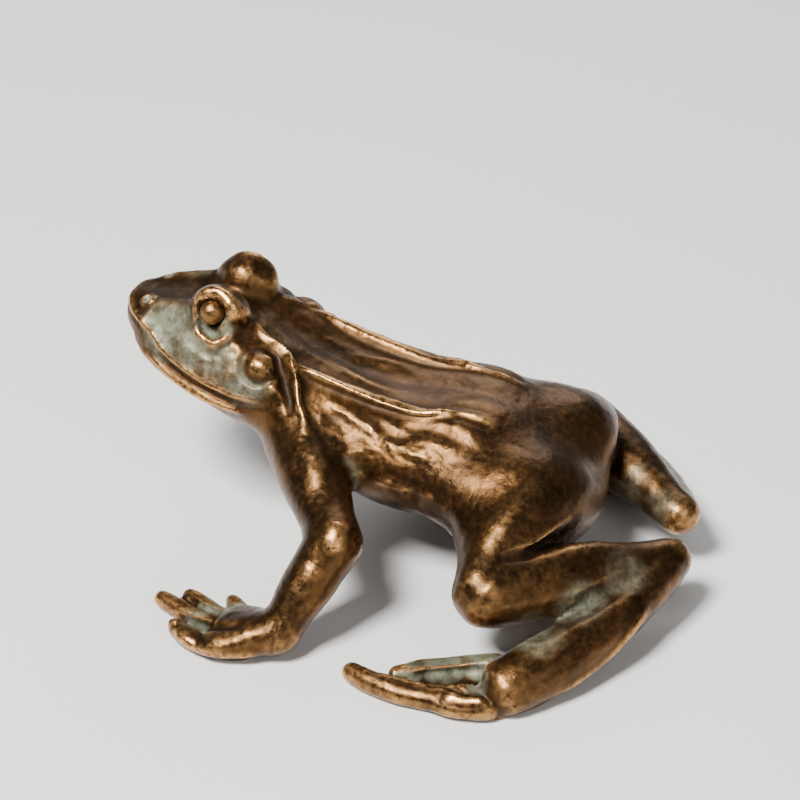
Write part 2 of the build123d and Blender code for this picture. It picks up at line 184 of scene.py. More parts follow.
class Skin:
    """The skin's points, with strokes that move them along the skin's own normals.

    A stroke or stamp only moves points whose normals agree with its own by LIKE_FACING, so that
    it never reaches through a thin place to the far side.
    """

    def __init__(self, mesh):
        self.mesh = mesh
        self.number = len(mesh.vertices)
        self.co = np.empty(self.number * 3)
        mesh.vertices.foreach_get("co", self.co)
        self.co = self.co.reshape(-1, 3)
        self.ends = edge_ends(mesh)
        self.neighbours = sum(np.bincount(end, minlength=self.number) for end in self.ends)
        self.refresh()

    def refresh(self):
        """Writes the points to the mesh and reads its normals again."""
        self.mesh.vertices.foreach_set("co", self.co.ravel())
        self.mesh.update()
        self.normal = np.empty(self.number * 3)
        self.mesh.vertex_normals.foreach_get("vector", self.normal)
        self.normal = self.normal.reshape(-1, 3)

    def spread(self, values):
        """The mean of each point's neighbours."""
        one, other = self.ends
        columns = values.reshape(self.number, -1).T
        sums = [
            np.bincount(one, c[other], self.number) + np.bincount(other, c[one], self.number)
            for c in columns
        ]
        return (np.stack(sums, 1) / self.neighbours[:, None]).reshape(values.shape)

    def relax(self, weight, times):
        """Evens the skin out where weight is over 0."""
        weight = np.broadcast_to(weight, self.number)
        one, other = self.ends
        touched = (weight[one] > 0) | (weight[other] > 0)
        one, other = one[touched], other[touched]
        points = np.unique(np.concatenate((one, other)))
        short = np.zeros(self.number, dtype=np.int64)
        short[points] = np.arange(len(points))
        one, other = short[one], short[other]
        co, neighbours = self.co[points], self.neighbours[points][:, None]
        weight = weight[points][:, None]
        for _ in range(times):
            sums = [
                np.bincount(one, c[other], len(points)) + np.bincount(other, c[one], len(points))
                for c in co.T
            ]
            co = co + (np.stack(sums, 1) / neighbours - co) * weight
        self.co[points] = co
        self.refresh()

    def index(self):
        """Sorts the points, so that the nearest one to a place is found fast."""
        self.tree = KDTree(self.number)
        for i, p in enumerate(self.co):
            self.tree.insert(p, i)
        self.tree.balance()

    def snap(self, points):
        """The nearest points of the skin, and the skin's normals there."""
        near = [self.tree.find(p)[1] for p in points]
        return self.co[near], self.normal[near]

    def along(self, line, width, steps=6):
        """For the points within width of a line: which they are, how far, how far along."""
        path, facing = self.snap(smooth_line(placed(line), steps))
        for _ in range(4):
            path[1:-1] = (path[:-2] + path[1:-1] * 2 + path[2:]) / 4
        low, high = path.min(0) - width, path.max(0) + width
        picked = np.nonzero(((self.co > low) & (self.co < high)).all(1))[0]
        co = self.co[picked]
        best = np.full(len(picked), 1e9)
        place = np.zeros(len(picked))
        face = np.zeros((len(picked), 3))
        for n in range(len(path) - 1):
            a, ab = path[n], path[n + 1] - path[n]
            t = np.clip(((co - a) @ ab) / max(ab @ ab, 1e-18), 0, 1)
            d = np.linalg.norm(co - a - t[:, None] * ab, axis=1)
            closer = d < best
            best[closer] = d[closer]
            place[closer] = (n + t[closer]) / (len(path) - 1)
            face[closer] = facing[n]
        inside = (best < width) & ((self.normal[picked] * face).sum(1) > LIKE_FACING)
        return picked[inside], best[inside] / width, place[inside]

    def stroke(self, line, width, height, sharp=1.0, fade=0.2, both=True):
        """Raises the skin along a line, or presses it where height is under 0, in millimetres."""
        for points in [line, mirrored(line)] if both else [line]:
            picked, far, place = self.along(points, width * MM)
            shape = (1 - far ** 2) ** 2 if sharp <= 1 else (1 - far) ** sharp
            if fade:
                shape = shape * np.clip(np.minimum(place, 1 - place) / fade, 0, 1) ** 0.7
            self.co[picked] += self.normal[picked] * (shape * height * MM)[:, None]
        self.refresh()

    def stamp(self, centre, radius, height, ring=None, both=True):
        """Raises a round patch, or a ring of it between two shares of its radius."""
        for point in [centre, mirrored([centre])[0]] if both else [centre]:
            middle, facing = self.snap(placed([point]))
            offset = self.co - middle[0]
            flat = offset - (offset @ facing[0])[:, None] * facing[0]
            far = np.linalg.norm(flat, axis=1) / (radius * MM)
            near = (np.linalg.norm(offset, axis=1) < 1.6 * radius * MM) & (far < 1)
            near &= (self.normal @ facing[0]) > LIKE_FACING
            if ring:
                inner, outer = ring
                shape = np.sin(np.clip((far - inner) / (outer - inner), 0, 1) * math.pi) ** 2
            else:
                shape = (1 - far ** 2) ** 2
            self.co[near] += facing[0] * (shape[near] * height * MM)[:, None]
        self.refresh()


print("the skin has", len([name for name in vars(Skin) if not name.startswith("_")]), "tools")

# %% [markdown]
# Three small helpers go with the tools: a smooth curve through the points of a stroke, noise for
# uneven places, and a soft round weight that says how much of the skin a tool may touch.

# %% Make the helpers
def smooth_line(points, steps):
    """More points on a smooth curve through the given ones."""
    if len(points) < 3:
        share = np.linspace(0, 1, steps * 2)[:, None]
        return points[0] * (1 - share) + points[-1] * share
    padded = np.vstack([2 * points[0] - points[1], points, 2 * points[-1] - points[-2]])
    out = []
    for a, b, c, d in zip(padded, padded[1:], padded[2:], padded[3:]):
        for t in np.linspace(0, 1, steps, endpoint=False):
            bend = (2 * a - 5 * b + 4 * c - d) * t * t + (3 * b - a - 3 * c + d) * t ** 3
            out.append(0.5 * (2 * b + (c - a) * t + bend))
    return np.array(out + [points[-1]])


def grain(points, size, seed, octaves=3):
    """Even noise between about -1 and 1 at each point. size is in millimetres."""
    shift = Vector((seed * 7.3, seed * 3.1, seed * 5.7))
    scale = 1 / (size * MM)
    return np.array([noise.fractal(Vector(p) * scale + shift, 0.9, 2.1, octaves) for p in points])


def within(centre, radius):
    """1 at a point, falling to 0 at the radius. For every skin point, in millimetres."""
    far = np.linalg.norm(sculpt.co - placed([centre])[0], axis=1) / (radius * MM)
    return np.clip(1 - far ** 2, 0, 1) ** 2


sculpt = Skin(skin.data)
sculpt.relax(1.0, 2)
print("sculpting", sculpt.number, "points")

# %% [markdown]
# ## Shoulders and haunches
# On the real frog no edge shows where a limb leaves the trunk: the skin runs over it. Near each
# of these joints the net is relaxed for a long time, and it fills the crease.

# %% Blend the limbs into the trunk
def joint_zone(one, other, reach):
    """1 on the joint of two castings, falling to 0 at reach millimetres from it."""
    reach *= MM
    near = np.ones(sculpt.number, dtype=bool)
    for node in (one, other):
        low, high = [np.array(corner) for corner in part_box(node)]
        near &= ((sculpt.co > low - reach) & (sculpt.co < high + reach)).all(1)
    zone = np.zeros(sculpt.number)
    for i in np.nonzero(near)[0]:
        far = [surfaces[node].find_nearest(sculpt.co[i], reach)[3] for node in (one, other)]
        if None not in far:
            zone[i] = 1 - max(far) / reach
    return zone ** 0.8


HAUNCH_FILL = {"left": 1.9, "right": 0.6}
for side in ("left", "right"):
    sculpt.relax(joint_zone("body_shell", side + "_arm", 3.6), 120)
    hip = joint_zone("body_shell", side + "_thigh", 5.5)
    sculpt.relax(hip, 220)
    # Relaxing wears the hip thin, so the haunch is filled out again, but not on top of the back
    steep = 1 - 0.8 * np.clip((sculpt.normal[:, 2] - 0.35) / 0.5, 0, 1)
    sculpt.co += sculpt.normal * (hip * (HAUNCH_FILL[side] * MM) * steep)[:, None]
    sculpt.refresh()
    sculpt.relax(hip, 40)
    sculpt.relax(joint_zone(side + "_arm", side + "_hand", 2.4), 50)
    sculpt.relax(joint_zone(side + "_shank", side + "_foot", 1.6), 30)
    sculpt.relax(joint_zone(side + "_thigh", side + "_shank", 1.2), 14)
print("blended the limbs")

# %% [markdown]
# The castings' eye domes, ear discs and lip ends have crisp edges. On the real head they grow out
# of it softly, so they are relaxed too. The right ear is worn flatter than the left one: nothing
# of it shows above the far side of the back.

# %% Soften the head
EAR_ROUNDS = {1: 60, -1: 180}


def spot(centre, radius, firm=2.0):
    """As within, but fuller: it stays 1 around its middle."""
    return np.minimum(within(centre, radius) * firm, 1)


for side in (1, -1):
    bead = within((side * 6.2, -23.9, 31.0), 2.6)
    sculpt.relax(within((side * 4.2, -23.9, 27.6), 6.2) * (1 - bead), 70)
    sculpt.relax(spot((side * 7.6, -16.8, 25.4), 4.2), EAR_ROUNDS[side])
    sculpt.relax(within((side * 5.0, -19.0, 27.5), 3.0), 12)
    sculpt.relax(within((side * 2.8, -36.6, 26.8), 2.6), 25)
    sculpt.relax(spot((side * 5.2, -35.4, 24.2), 3.2, 1.5), 50)
sculpt.index()
print("softened the head")

# %% [markdown]
# ## Snout and mouth
# The snout is flat on top and hollow along the cheek, with a soft edge between the two. The lips
# are two thin ridges with a slit between them. Broad strokes come first and thin ones last, as a
# modeller goes from the thumb to the needle.

# %% Shape the snout and the mouth
SNOUT_TOP = [(0.0, -38.0, 29.0), (0.0, -35.0, 30.0), (0.0, -30.0, 30.6), (0.0, -26.0, 31.0)]
BEFORE_DOME, BEHIND_DOME = (3.4, -27.6, 30.4), (3.6, -19.8, 29.2)
SNOUT_EDGE = [(2.6, -35.6, 28.6), (3.9, -32.8, 28.8), (4.4, -29.6, 29.7), (5.6, -27.0, 31.2)]
CHEEK = [(5.0, -33.4, 27.3), (6.2, -30.6, 27.0), (7.0, -28.0, 26.9)]
LOWER_CHEEK = [(8.4, -27.0, 25.2), (9.2, -23.6, 25.0), (9.6, -20.6, 24.0)]
LIP = [(0.0, -37.3, 27.3), (3.4, -36.2, 27.0), (6.4, -32.6, 26.1), (7.8, -30.2, 24.8),
       (9.7, -25.3, 23.1), (10.4, -21.9, 22.4), (10.7, -18.4, 21.9), (10.5, -15.2, 21.7)]
MOUTH = [(0.0, -37.6, 26.5), (3.2, -36.4, 26.3), (5.9, -33.6, 25.5), (7.6, -31.4, 24.3),
         (8.7, -28.9, 23.0), (10.1, -25.2, 22.0), (10.5, -21.6, 21.3), (10.7, -17.9, 20.9),
         (10.6, -15.4, 20.9)]
JAW = [(5.8, -34.2, 24.5), (8.8, -30.1, 22.5), (10.3, -26.1, 21.2), (11.0, -21.7, 20.3),
       (11.0, -17.7, 19.8)]
NOSTRIL = (3.3, -34.2, 28.6)

lips = sum(within((x * side, y, z), 1.6) for x, y, z in MOUTH[1:] for side in (1, -1))
sculpt.relax(np.clip(lips, 0, 0.8), 6)
sculpt.stroke(SNOUT_TOP, 5.5, -0.8, fade=0.3, both=False)
sculpt.stamp(BEFORE_DOME, 3.0, 0.45)
sculpt.stamp(BEHIND_DOME, 3.2, 0.5)
sculpt.stroke(CHEEK, 2.8, -0.5)
sculpt.stroke(LOWER_CHEEK, 2.6, -0.25)
sculpt.stroke(SNOUT_EDGE, 1.4, 0.3)
sculpt.stroke(LIP, 1.3, 0.2)
sculpt.stroke(LIP, 0.6, 0.2, sharp=1.2)
sculpt.stroke(JAW, 0.7, 0.16)
sculpt.stroke(MOUTH, 0.4, -0.22, sharp=1.3, fade=0.06)
sculpt.stamp(NOSTRIL, 1.3, 0.2, ring=(0.45, 1.0), both=False)
sculpt.stamp(NOSTRIL, 0.75, -0.55)
print("shaped the snout and the mouth")

# %% [markdown]
# ## Sockets and brows
# The left eye looks out from under a thick roll of skin, with a deep pocket below the bead and a
# raised lower lid. The right eye has the same pocket and lid under a smooth dome, because only
# the top of that dome is seen over the head.

# %% Shape the sockets and the brows
POCKET_FLOOR = (7.9, -24.1, 28.9)
POCKET = [(7.2, -25.6, 29.6), (7.6, -24.6, 28.6), (7.8, -23.4, 28.2), (7.4, -22.3, 28.6)]
LEFT_DOME, RIGHT_DOME = (4.0, -23.4, 32.4), (-4.8, -23.8, 32.0)
AROUND_BEAD = [(7.46, -22.3, 30.5), (6.9, -22.3, 31.5), (6.5, -23.0, 32.3), (6.4, -24.1, 32.5),
               (6.7, -25.1, 32.0), (7.2, -25.5, 31.0)]
BROW_ROLL = [(6.5, -26.2, 31.2), (5.9, -25.6, 32.3), (5.5, -23.9, 32.9), (5.7, -22.2, 32.4),
             (5.6, -21.2, 31.0), (4.9, -20.7, 29.6), (4.2, -19.8, 28.4)]
BEHIND_ROLL = (3.6, -22.8, 32.2)
LID = [(7.2, -25.9, 28.8), (7.3, -25.4, 27.9), (7.7, -24.5, 27.4), (8.0, -23.2, 27.1),
       (7.5, -22.2, 27.4), (6.6, -21.4, 28.1), (5.6, -20.5, 29.0)]
UNDER_LID = [(7.6, -26.6, 26.8), (8.4, -24.6, 25.8), (8.3, -22.6, 25.7)]

for pocket_floor in [POCKET_FLOOR] + mirrored([POCKET_FLOOR]):
    sculpt.stamp(pocket_floor, 2.2, -0.8, both=False)
    sculpt.relax(spot(pocket_floor, 2.6, 1.5), 8)
sculpt.stroke(POCKET, 1.0, -0.5)
sculpt.relax(spot(LEFT_DOME, 3.0), 30)
sculpt.relax(spot(RIGHT_DOME, 4.2), 30)
sculpt.stroke(AROUND_BEAD, 0.75, -0.35, both=False)
sculpt.stroke(BROW_ROLL, 2.0, 0.7, fade=0.3, both=False)
sculpt.stroke(mirrored(BROW_ROLL), 2.0, 0.25, fade=0.3, both=False)
sculpt.relax(spot(BEHIND_ROLL, 2.0), 16)
sculpt.stroke(LID, 1.0, 0.4)
sculpt.stroke(UNDER_LID, 0.9, -0.2)
print("shaped the sockets and the brows")

# %% [markdown]
# ## Ears
# The ear drum is a round bump in a shallow groove, with a smaller bump above it. A sharp fold of
# skin runs from the brow over the left ear to the shoulder, and a groove follows it. On the right
# the fold only joins the brow to the ridge on the back.

# %% Shape the ears
EAR, EAR_BUMP = (8.0, -16.8, 25.2), (6.9, -15.7, 25.9)
EAR_FULLNESS = {1: 1.0, -1: 0.75}
EAR_FOLD = [(3.6, -19.9, 28.3), (4.5, -17.9, 27.2), (4.6, -16.3, 26.4), (5.0, -14.8, 25.6),
            (6.4, -13.2, 25.3), (7.2, -12.6, 24.1), (8.8, -11.6, 22.7), (9.5, -11.1, 21.8),
            (10.5, -10.0, 20.8), (12.8, -8.9, 19.8)]
EAR_GROOVE = [(6.1, -17.0, 26.5), (6.9, -15.3, 25.6), (7.9, -14.1, 24.6), (9.0, -13.0, 23.2),
              (9.9, -12.2, 22.0), (11.0, -11.6, 20.8)]
RIGHT_FOLD = [(-3.6, -19.9, 28.3), (-5.6, -17.3, 26.8), (-6.4, -15.8, 26.2), (-6.2, -12.7, 25.3)]

for side, height in EAR_FULLNESS.items():
    ear, bump = [(side * x, y, z) for x, y, z in (EAR, EAR_BUMP)]
    sculpt.stamp(ear, 3.0, -0.35 * height, ring=(0.5, 1.0), both=False)
    sculpt.relax(spot(ear, 1.5), 60)
    sculpt.stamp(ear, 2.3, 0.6 * height, both=False)
    sculpt.stamp(bump, 0.9, 0.3 * height, both=False)
    sculpt.relax(spot(ear, 3.6), 5)
sculpt.stroke(EAR_FOLD, 1.6, 0.3, both=False)
sculpt.stroke(EAR_FOLD, 0.8, 0.6, sharp=1.1, both=False)
sculpt.stroke(EAR_GROOVE, 0.9, -0.35, both=False)
sculpt.stroke(RIGHT_FOLD, 1.3, 0.3, both=False)
print("shaped the ears")

# %% [markdown]
# ## Back and haunches
# Two thin ridges run down the back, as on a real pond frog, with two softer ones between them
# that end over the hips. The haunch is one smooth slope from the ridge down to the thigh.

# %% Shape the back
BACK = [(6.2, -12.7, 25.3), (6.2, -8.4, 23.9), (6.2, -4.0, 22.9),
        (6.2, -1.0, 22.3), (6.1, 3.3, 21.8), (5.2, 7.0, 22.1), (4.9, 11.2, 22.0), (5.0, 13.4, 21.2)]
BESIDE_BACK = [(3.6, -13.5, 25.4), (4.3, -7.0, 23.4), (4.7, -1.0, 22.6)]
INNER = [(1.1, -10.5, 23.8), (1.4, -8.6, 23.3), (2.2, -7.0, 22.8), (3.1, -3.5, 22.4), (2.9, 0.0, 21.9)]
OVER_HIPS = [(3.3, 3.6, 22.1), (2.9, 7.2, 22.1), (2.7, 10.2, 22.3), (2.7, 13.5, 21.9)]
SPINE = [(0.0, -19.0, 26.5), (0.0, -12.0, 24.5), (0.0, -4.0, 22.5), (0.0, 4.0, 22.0)]
HAUNCH = [(12.7, 8.5, 13.9), (11.8, 12.0, 16.4), (10.2, 15.2, 19.0), (6.8, 16.5, 20.1)]
HAUNCH_MIDDLE = (12.4, 12.0, 17.0)

ridge_roots = sum(within((x, y, 22.6), 3.0) for x in (6.2, -6.2) for y in range(-14, 4, 3))
sculpt.relax(np.clip(ridge_roots, 0, 0.7), 8)
sculpt.stroke(SPINE, 3.0, -0.15, fade=0.4)
sculpt.stroke(BESIDE_BACK, 1.7, -0.15)
sculpt.stroke(INNER, 1.4, 0.22, fade=0.4)
sculpt.stroke(OVER_HIPS, 2.6, 0.2, fade=0.5)
sculpt.stroke(HAUNCH, 3.8, 0.6, fade=0.4)
sculpt.relax(sum(within(place, 7.0) for place in [HAUNCH_MIDDLE] + mirrored([HAUNCH_MIDDLE])), 60)
sculpt.stroke(BACK, 1.3, 0.25)
sculpt.stroke(BACK, 0.6, 0.3, sharp=1.2)
print("shaped the back")

# %% [markdown]
# ## Flanks
# Below the ridge the skin of the flank hangs in soft folds. Each fold is a stroke with its own
# width and height, and the finest crinkles are noise, which is only laid on where the skin looks
# to the side.

# %% Fold the flanks
FOLD_STRENGTH = 0.7
FOLDS = [
    ([(8.2, -8.4, 22.3), (8.4, -6.1, 21.7), (9.0, -3.3, 20.9), (9.9, 0.0, 19.9)], 1.3, 0.28),
    ([(10.3, 0.0, 19.6), (10.6, 2.0, 19.4), (10.8, 4.1, 19.3), (11.3, 7.4, 18.8)], 1.3, 0.28),
    ([(6.6, 0.6, 22.0), (6.3, 6.0, 21.8), (7.0, 8.9, 21.6), (7.6, 13.0, 20.8)], 2.0, 0.4),
    ([(9.6, 3.4, 20.1), (9.6, 6.8, 20.2), (10.0, 10.0, 19.9)], 1.4, 0.15),
    ([(8.8, 1.6, 20.8), (8.2, 6.2, 21.0), (8.6, 10.5, 20.8)], 1.5, -0.22),
    ([(8.6, -1.4, 20.9), (9.4, 1.2, 20.3), (9.8, 3.0, 20.0)], 1.2, -0.22),
    ([(7.8, -9.6, 22.4), (9.2, -7.0, 20.8), (10.2, -3.4, 19.8)], 1.5, -0.2),
    ([(11.6, -7.0, 17.6), (11.8, -4.4, 18.0), (12.0, -2.0, 17.9)], 1.1, 0.2),
    ([(14.0, -2.6, 15.4), (12.7, -1.2, 15.8)], 0.7, 0.25),
    ([(12.8, -0.4, 15.5), (12.9, 2.6, 15.3), (12.9, 5.1, 15.3)], 0.8, 0.22),
    ([(12.9, 5.6, 15.3), (12.8, 8.0, 15.3)], 0.7, 0.2),
    ([(12.7, 0.4, 16.7), (12.4, 3.4, 16.6), (12.4, 6.0, 16.6)], 0.9, -0.18),
]
CRINKLED = [((9.5, -6.0, 20.5), 6.5), ((10.5, 0.0, 19.0), 6.5), ((10.5, 6.0, 19.0), 6.0),
            ((12.0, 2.0, 16.0), 4.5), ((9.0, -24.0, 25.0), 6.0), ((6.5, -31.0, 26.5), 4.5)]

for line, width, height in FOLDS:
    sculpt.stroke(line, width, FOLD_STRENGTH * height)
flank = np.zeros(sculpt.number)
for side in (1, -1):
    for centre, radius in CRINKLED:
        flank = np.maximum(flank, within((side * centre[0], *centre[1:]), radius))
outward = sculpt.normal[:, 0] * np.sign(sculpt.co[:, 0] - MIDDLE)
flank *= np.clip(outward * 2, 0, 1)
near = np.nonzero(flank > 0.02)[0]
push = grain(sculpt.co[near], 2.4, 1) * 0.12 + grain(sculpt.co[near], 0.9, 2, 2) * 0.06
sculpt.co[near] += sculpt.normal[near] * (push * flank[near] * MM)[:, None]
sculpt.refresh()
print("folded the flanks over", len(near), "points")

# %% [markdown]
# ## Limbs, hands and feet
# The hands and feet of the two sides are alike, but the right ones lie nearer to the body. Their
# points are written for the left side, and moved inward for the right. A stroke along a finger or
# toe gives it its bone, and a pressed one between two of them gives the sagging web.

# %% Shape the hands and feet
HAND_STEP, FOOT_STEP = 9.0, 9.4


def for_hands(points):
    """Points of the left hand, and the same ones on the right hand."""
    return [points, [(HAND_STEP - x, y, z) for x, y, z in points]]


def for_feet(points):
    """Points of the left foot, and the same ones on the right foot."""
    return [points, [(FOOT_STEP - x, y, z) for x, y, z in points]]


HAND_STROKES = [
    ([(33.0, -6.5, 1.8), (34.4, -10.1, 1.6), (34.2, -14.6, 1.6), (32.4, -18.2, 1.8)], 1.3, 0.4),
    ([(31.8, -8.6, 3.6), (32.2, -12.0, 2.8), (31.6, -15.2, 2.4)], 1.1, -0.4),
    ([(31.4, -19.2, 1.6), (31.7, -18.0, 2.2)], 1.0, 0.3),
    ([(30.4, -13.2, 2.0), (30.2, -16.6, 1.3), (29.6, -19.4, 1.3)], 0.8, -0.5),
    ([(28.4, -13.4, 2.2), (27.7, -17.0, 1.4), (26.7, -19.8, 1.2)], 0.7, -0.5),
    ([(27.2, -11.2, 2.0), (25.8, -14.6, 1.2)], 0.7, -0.4),
]
FOOT_STROKES = [
    ([(28.5, 22.5, 4.0), (31.2, 18.6, 2.8), (32.4, 13.0, 2.6), (32.2, 8.0, 2.4)], 1.2, 0.35),
    ([(26.4, 19.6, 2.2), (28.8, 15.4, 1.9), (31.0, 11.2, 1.8)], 0.9, -0.55),
    ([(32.3, 19.6, 1.9), (32.5, 16.6, 1.8), (33.0, 14.2, 1.8)], 0.7, -0.5),
    ([(33.6, 16.4, 2.6), (33.3, 19.4, 2.7), (32.4, 22.0, 2.6)], 1.2, 0.5),
    ([(25.3, 19.0, 2.4), (27.2, 14.4, 2.4), (29.6, 10.6, 2.2)], 1.4, -0.3),
    ([(24.2, 18.2, 1.8), (26.0, 14.0, 1.8), (28.8, 10.0, 1.8)], 0.6, 0.3),
    ([(31.0, 20.6, 3.3), (28.4, 20.4, 3.4)], 1.8, -0.45),
]
for strokes, copies in ((HAND_STROKES, for_hands), (FOOT_STROKES, for_feet)):
    for line, width, height in strokes:
        for points in copies(line):
            sculpt.stroke(points, width, height, both=False)
print("shaped the hands and feet")

# %% [markdown]
# Soft raised lines give the left limbs their muscles and bones, and a thin pressed one marks the
# wrist, where the hand was brazed on. Then the whole skin gets the faint unevenness of worked
# wax, sinks back by what it was swollen, and stays above the table.

# %% Shape the limbs and finish the wax
LIMB_STROKES = [
    ([(9.5, -13.6, 21.0), (13.4, -8.4, 18.6), (18.4, -4.6, 16.6)], 2.4, 0.35),
    ([(14.2, -4.6, 13.5), (17.6, -2.4, 12.6)], 1.8, -0.3),
    ([(22.4, -1.0, 14.6), (24.6, -0.6, 12.6)], 2.2, 0.35),
    ([(26.2, -2.0, 11.4), (28.4, -3.6, 8.2)], 2.2, 0.25),
    ([(26.9, 13.8, 13.6), (22.0, 16.0, 15.6), (16.0, 18.4, 17.0), (9.0, 22.0, 16.0)], 3.0, 0.35),
    ([(22.0, 21.8, 13.6), (15.0, 25.5, 13.0), (9.0, 30.0, 11.6)], 2.2, 0.35),
    ([(21.3, 18.9, 14.2), (19.1, 21.3, 14.4), (13.0, 23.4, 12.2), (10.8, 26.2, 11.7)], 1.0, -0.35),
    ([(12.0, 32.8, 8.6), (20.0, 28.0, 6.6), (27.0, 24.0, 4.8)], 2.2, -0.4),
    ([(13.4, 34.6, 6.4), (20.4, 31.0, 4.0), (27.6, 26.8, 2.6)], 1.4, 0.35),
]
WRIST = [(31.4, -5.2, 6.1), (32.6, -5.2, 4.2), (32.6, -5.6, 1.8)]

for line, width, height in LIMB_STROKES:
    sculpt.stroke(line, width, height, both=False)
for points in for_hands(WRIST):
    sculpt.stroke(points, 0.35, -0.15, both=False)
push = grain(sculpt.co, 2.6, 5) * 0.06 + grain(sculpt.co, 0.7, 6, 2) * 0.015
sculpt.co += sculpt.normal * (push * MM)[:, None]
sculpt.co -= sculpt.normal * SWELL
sculpt.co[:, 2] = np.maximum(sculpt.co[:, 2], 0.0)
sculpt.refresh()
print("finished the wax, %.1f mm high" % (sculpt.co[:, 2].max() / MM))

# %% [markdown]
# ## Where the patina and the painted shade sit
# Patina is brushed on hot, then rubbed back: it stays dark in the hollows and wears through to
# warm metal on the ridges. The green-grey bloom is old verdigris in sheltered places. The net
# is measured for both, and the results are kept as values on its points. The dark of the hollows
# is painted shade as well as patina: the broad creases between the limbs and the body are darkened
# as shade would darken them.

# %% Measure hollows and ridges
def hollowness(rounds, reach):
    """Over 0 in hollows, under 0 on ridges. More rounds look at a wider neighbourhood."""
    mean = sculpt.co.copy()
    for _ in range(rounds):
        mean = sculpt.spread(mean)
    return ((mean - sculpt.co) * sculpt.normal).sum(1) / (reach * MM)


def keep_value(name, values):
    layer = skin.data.attributes.new(name, "FLOAT", "POINT")
    layer.data.foreach_set("value", np.ascontiguousarray(values, dtype=np.float32))
    print("%s: mean %.2f, most %.2f" % (name, values.mean(), values.max()))


def smooth_step(values, low, high):
    t = np.clip((values - low) / (high - low), 0, 1)
    return t * t * (3 - 2 * t)


# hollow is patina in the fine hollows, and painted shade in the broad creases that the wide measure finds
fine, wide = hollowness(4, 0.05), hollowness(40, 0.5)
hollow = smooth_step(fine * 0.5 + wide, 0.1, 1.0)
ridge = smooth_step(-fine * 0.5 - wide * 0.8, 0.25, 1.1)
for _ in range(2):
    hollow, ridge = sculpt.spread(hollow), sculpt.spread(ridge)
print("hollow on %.0f %% of the skin" % ((hollow > 0.5).mean() * 100))

# %% [markdown]
# Verdigris stays where no hand or cloth rubs it off: on the cheeks and round the eyes, in the
# nostrils, in the webs and along the inside of the tarsus. Each of these places is a soft round
# spot with its own strength. The ear drums, the bottom of the pockets and all ridges are kept
# free of it. The bottom of each pocket is painted near-black instead, as painted shadow under the bead.

# %% Paint the bloom
# Each spot is a middle, a radius and a strength
BLOOM = [((6.6, -30.2, 27.0), 5.0, 0.9), ((8.4, -26.4, 26.4), 4.2, 0.8), ((9.2, -22.4, 25.4), 3.6, 0.6),
         ((9.6, -18.0, 23.8), 4.2, 0.6), ((7.4, -23.6, 29.0), 3.2, 1.0), ((3.3, -34.2, 28.4), 1.1, 1.0),
         ((12.0, -4.0, 15.6), 3.0, 0.5)]
HAND_BLOOM = [((30.2, -16.6, 1.4), 2.6, 0.9), ((26.0, -13.0, 1.8), 4.0, 1.0), ((27.2, -16.0, 1.3), 2.0, 0.8)]
FOOT_BLOOM = [((25.0, 18.8, 2.2), 3.4, 1.0), ((27.3, 14.4, 2.2), 3.2, 1.0), ((29.8, 10.6, 2.0), 2.4, 1.0),
              ((30.4, 20.0, 3.0), 2.6, 0.9), ((24.0, 25.0, 6.0), 4.4, 0.7), ((18.0, 28.0, 7.4), 4.4, 0.6),
              ((12.0, 31.5, 9.0), 4.0, 0.5)]
DRUM, POCKET_BOTTOM = (8.1, -16.8, 25.4), (7.3, -23.8, 29.2)


def on_both_sides(points):
    return [points, mirrored(points)]


bloom = np.zeros(sculpt.number)
for spots, copies in ((BLOOM, on_both_sides), (HAND_BLOOM, for_hands), (FOOT_BLOOM, for_feet)):
    for centre, radius, strength in spots:
        for points in copies([centre]):
            bloom = np.maximum(bloom, strength * within(points[0], radius) ** 0.5)
for drum in [DRUM] + mirrored([DRUM]):
    bloom *= 1 - 0.9 * spot(drum, 3.2)
# Painted shadow: the bottom of each pocket gets no bloom and is set near-black, as the deep shade under the
# bead
for bottom in [POCKET_BOTTOM] + mirrored([POCKET_BOTTOM]):
    shade = spot(bottom, 1.5, 3.0)
    bloom *= 1 - shade
    hollow = np.maximum(hollow, shade * 0.95)
bloom *= 1 - 0.9 * smooth_step(ridge, 0.25, 0.7)
keep_value("hollow", hollow)
keep_value("ridge", ridge)
keep_value("bloom", bloom)

# %% [markdown]
# ## Parting the castings
# The real frog was cast in pieces and brazed together, so the skin is parted again where the
# castings meet. Each point is measured to every CAD solid near it, and a face goes to the
# casting that it is nearest to.

# %% Find each casting's share of the skin
REACH = 2.5 * MM
gap_to = np.full((sculpt.number, len(SKIN_NODES)), REACH)
for number, node in enumerate(SKIN_NODES):
    low, high = [np.array(corner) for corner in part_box(node)]
    near = ((sculpt.co > low - REACH) & (sculpt.co < high + REACH)).all(1)
    for i in np.nonzero(near)[0]:
        far = surfaces[node].find_nearest(sculpt.co[i], REACH)[3]
        if far is not None:
            gap_to[i, number] = far
for _ in range(12):
    gap_to = (gap_to + sculpt.spread(gap_to)) / 2
corners = np.empty(len(skin.data.loops), dtype=np.int64)
skin.data.loops.foreach_get("vertex_index", corners)
corners = corners.reshape(-1, 4)
face_owner = gap_to[corners].mean(1).argmin(1)
for number, node in enumerate(SKIN_NODES):
    print("%s gets %d faces" % (node, (face_owner == number).sum()))

# %% [markdown]
# The points along a joint are slid onto the line where the two distances are the same, so that
# the joint runs smoothly. The shading is kept from before the slide.

